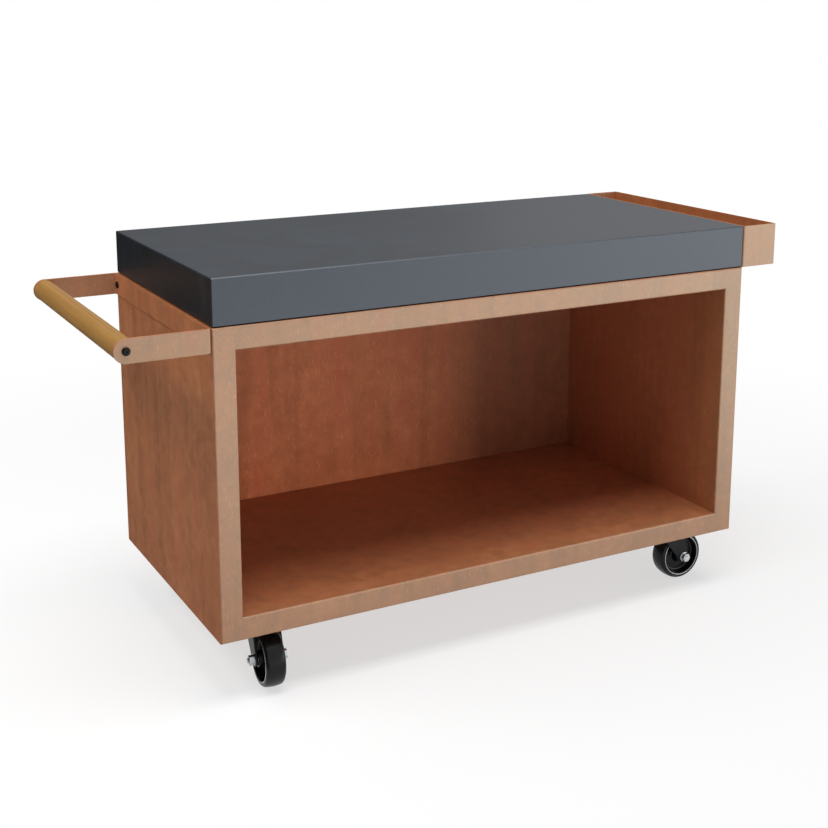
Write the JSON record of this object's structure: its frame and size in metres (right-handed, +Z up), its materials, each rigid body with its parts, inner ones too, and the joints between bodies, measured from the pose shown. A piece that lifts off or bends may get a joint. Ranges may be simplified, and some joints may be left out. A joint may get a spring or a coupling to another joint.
{
  "type": "prep table",
  "caption": "Outdoor prep table: open-fronted weathering-steel cabinet on swivel casters, with a thick dark ceramic worktop, a wooden push handle at one end and a planter trough at the other.",
  "frame": {"origin": "on the floor under the middle of the overall box, which is level with the middle of the cabinet's depth", "axes": "+X from the push handle to the planter, -Y out of the open front, +Z up"},
  "size_m": [1.647, 0.6626, 0.913],
  "materials": {
    "weathering_steel": "rusted weathering steel, matt",
    "dark_ceramic": "matt dark grey stoneware",
    "oiled_wood": "oiled hardwood",
    "black_steel": "black powder coat",
    "zinc_steel": "bright zinc plated",
    "black_screw": "black oxide",
    "insert_brass": "turned",
    "frame_steel": "primed steel tube",
    "pad_rubber": "black rubber",
    "tyre_rubber": "smooth black rubber",
    "core_plastic": "moulded black nylon"
  },
  "bodies": {
    "table": {"back_panel": "weathering_steel", "bar_inserts": "insert_brass", "bar_screws": "black_screw", "bracket_bolts": "black_screw", "bracket_nuts": "zinc_steel", "caster_bolts": "zinc_steel", "caster_channels": "weathering_steel", "caster_nuts": "zinc_steel", "floor_tray": "weathering_steel", "front_apron": "dark_ceramic", "front_left_plate": "black_steel", "front_right_plate": "black_steel", "handle_bar": "oiled_wood", "handle_bracket": "weathering_steel", "kingpins": "zinc_steel", "left_apron": "dark_ceramic", "left_wall": "weathering_steel", "planter_box": "weathering_steel", "rear_apron": "dark_ceramic", "rear_left_plate": "black_steel", "rear_right_plate": "black_steel", "right_apron": "dark_ceramic", "right_wall": "weathering_steel", "swivel_bearings": "zinc_steel", "top_panel": "weathering_steel", "worktop_bolts": "zinc_steel", "worktop_crossbars": "frame_steel", "worktop_nuts": "zinc_steel", "worktop_pads": "pad_rubber", "worktop_plate": "dark_ceramic", "worktop_rails": "frame_steel"},
    "front_left_swivel": {"front_left_fork": "black_steel", "front_left_axle_bolt": "zinc_steel", "front_left_axle_nut": "zinc_steel", "front_left_axle_sleeve": "zinc_steel"},
    "front_left_wheel": {"front_left_wheel_core": "core_plastic", "front_left_wheel_bearings": "zinc_steel", "front_left_tyre": "tyre_rubber"},
    "front_right_swivel": {"front_right_fork": "black_steel", "front_right_axle_bolt": "zinc_steel", "front_right_axle_nut": "zinc_steel", "front_right_axle_sleeve": "zinc_steel"},
    "front_right_wheel": {"front_right_wheel_core": "core_plastic", "front_right_wheel_bearings": "zinc_steel", "front_right_tyre": "tyre_rubber"},
    "rear_left_swivel": {"rear_left_fork": "black_steel", "rear_left_axle_bolt": "zinc_steel", "rear_left_axle_nut": "zinc_steel", "rear_left_axle_sleeve": "zinc_steel"},
    "rear_left_wheel": {"rear_left_wheel_core": "core_plastic", "rear_left_wheel_bearings": "zinc_steel", "rear_left_tyre": "tyre_rubber"},
    "rear_right_swivel": {"rear_right_fork": "black_steel", "rear_right_axle_bolt": "zinc_steel", "rear_right_axle_nut": "zinc_steel", "rear_right_axle_sleeve": "zinc_steel"},
    "rear_right_wheel": {"rear_right_wheel_core": "core_plastic", "rear_right_wheel_bearings": "zinc_steel", "rear_right_tyre": "tyre_rubber"}
  },
  "joints": [
    {"name": "front_left_swivel_turn", "type": "hinge", "parent": "table", "child": "front_left_swivel", "pos_m": [-0.4985, -0.228, 0.1395], "axis": [0, 0, 1], "continuous": true},
    {"name": "front_left_wheel_spin", "type": "hinge", "parent": "front_left_swivel", "child": "front_left_wheel", "pos_m": [-0.50129, -0.2679, 0.0625], "axis": [0.9976, -0.0698, 0], "continuous": true},
    {"name": "front_right_swivel_turn", "type": "hinge", "parent": "table", "child": "front_right_swivel", "pos_m": [0.5955, -0.228, 0.1395], "axis": [0, 0, 1], "continuous": true},
    {"name": "front_right_wheel_spin", "type": "hinge", "parent": "front_right_swivel", "child": "front_right_wheel", "pos_m": [0.6355, -0.228, 0.0625], "axis": [0, 1, 0], "continuous": true},
    {"name": "rear_left_swivel_turn", "type": "hinge", "parent": "table", "child": "rear_left_swivel", "pos_m": [-0.4985, 0.228, 0.1395], "axis": [0, 0, 1], "continuous": true},
    {"name": "rear_left_wheel_spin", "type": "hinge", "parent": "rear_left_swivel", "child": "rear_left_wheel", "pos_m": [-0.50129, 0.2679, 0.0625], "axis": [-0.9976, -0.0698, 0], "continuous": true},
    {"name": "rear_right_swivel_turn", "type": "hinge", "parent": "table", "child": "rear_right_swivel", "pos_m": [0.5955, 0.228, 0.1395], "axis": [0, 0, 1], "continuous": true},
    {"name": "rear_right_wheel_spin", "type": "hinge", "parent": "rear_right_swivel", "child": "rear_right_wheel", "pos_m": [0.6355, 0.228, 0.0625], "axis": [0, 1, 0], "continuous": true}
  ]
}
